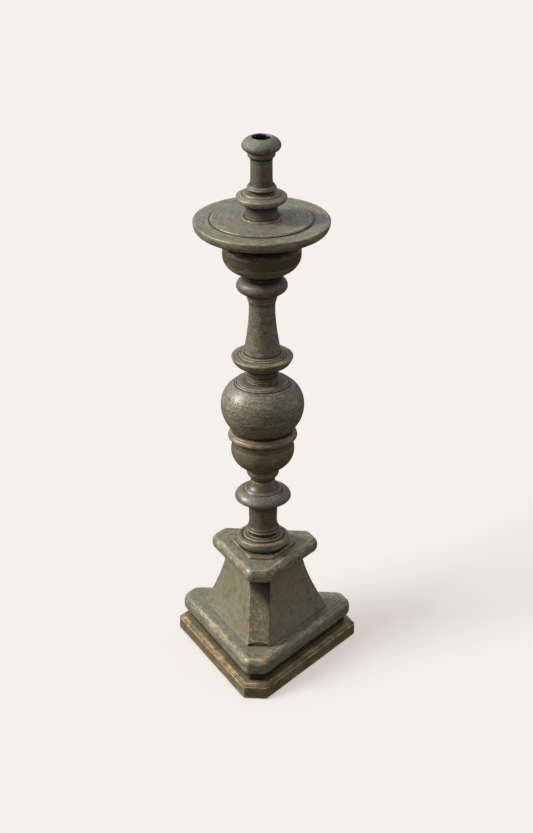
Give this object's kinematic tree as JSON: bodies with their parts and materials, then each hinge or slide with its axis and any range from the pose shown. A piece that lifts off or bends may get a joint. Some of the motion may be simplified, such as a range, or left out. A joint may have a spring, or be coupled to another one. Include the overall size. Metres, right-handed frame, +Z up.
{
  "type": "candlestick",
  "caption": "Tall turned and painted wooden candlestick with a round drip plate, on a three-sided flared pedestal with moulded slabs.",
  "frame": {"origin": "on the column's axis, at the underside of the felt sheet that the candlestick stands on", "axes": "+Z up along the column to the candle hole; one corner of the three-sided base points along -Y and one long side faces +Y"},
  "size_m": [0.2162, 0.1952, 0.6579],
  "materials": {
    "felt": "matte",
    "paint": "worn grey-green paint over wood, satin",
    "paint_shadow": "worn grey-green paint over wood, satin",
    "bare_wood": "bare wood, matte",
    "steel": "plain",
    "liner": "blackened, satin"
  },
  "bodies": {
    "root": {"felt_sheet": "felt", "plinth": "paint", "plinth_screws": "steel", "spacer_board": "paint_shadow", "lower_slab": "paint", "slab_screws": "steel", "side_panel_left": "paint", "side_panel_right": "paint", "side_panel_back": "paint", "corner_strip_front": "paint", "corner_strip_left": "paint", "corner_strip_right": "paint", "corner_blocks": "bare_wood", "upper_slab": "paint", "cap_screws": "steel", "column_pad": "paint", "tenon_wedge": "bare_wood", "foot_turning": "paint", "stem_turning": "paint", "lower_cup": "paint", "ball": "paint", "trumpet": "paint", "upper_knop": "paint", "bowl": "paint", "drip_plate": "paint", "cup_disc": "paint", "candle_cup": "paint", "socket_liner": "liner"}
  },
  "joints": []
}
